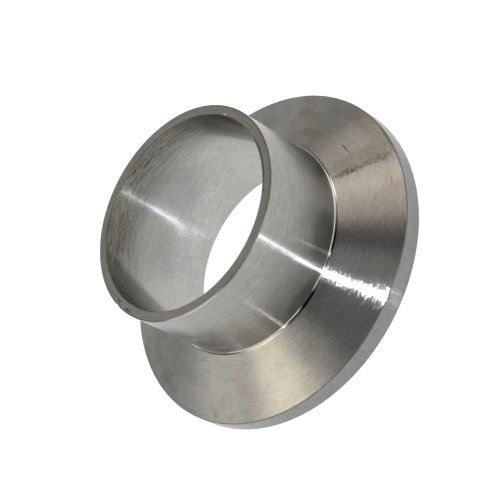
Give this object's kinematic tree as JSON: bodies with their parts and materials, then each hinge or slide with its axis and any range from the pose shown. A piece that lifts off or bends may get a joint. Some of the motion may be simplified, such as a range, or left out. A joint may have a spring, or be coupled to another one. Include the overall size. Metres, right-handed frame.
{
  "type": "sanitary clamp ferrule",
  "caption": "Turned steel clamp ferrule: a short open weld stub on a flange with a sloped back, a narrow straight rim and a round gasket groove in its sealing face.",
  "frame": {"origin": "centre of the bore in the plane of the sealing face, on which the ferrule stands", "axes": "+Z along the bore axis from the sealing face towards the open end of the weld stub; X and Y lie in the sealing face and are free, because the part is round"},
  "size_m": [0.0506, 0.0504, 0.0207],
  "materials": {
    "turned_steel": "turned and brushed round the axis, with fine rings, a smoother cut at the root of the stub and light handling marks"
  },
  "bodies": {
    "root": {"clamp_ferrule": "turned_steel"}
  },
  "joints": []
}
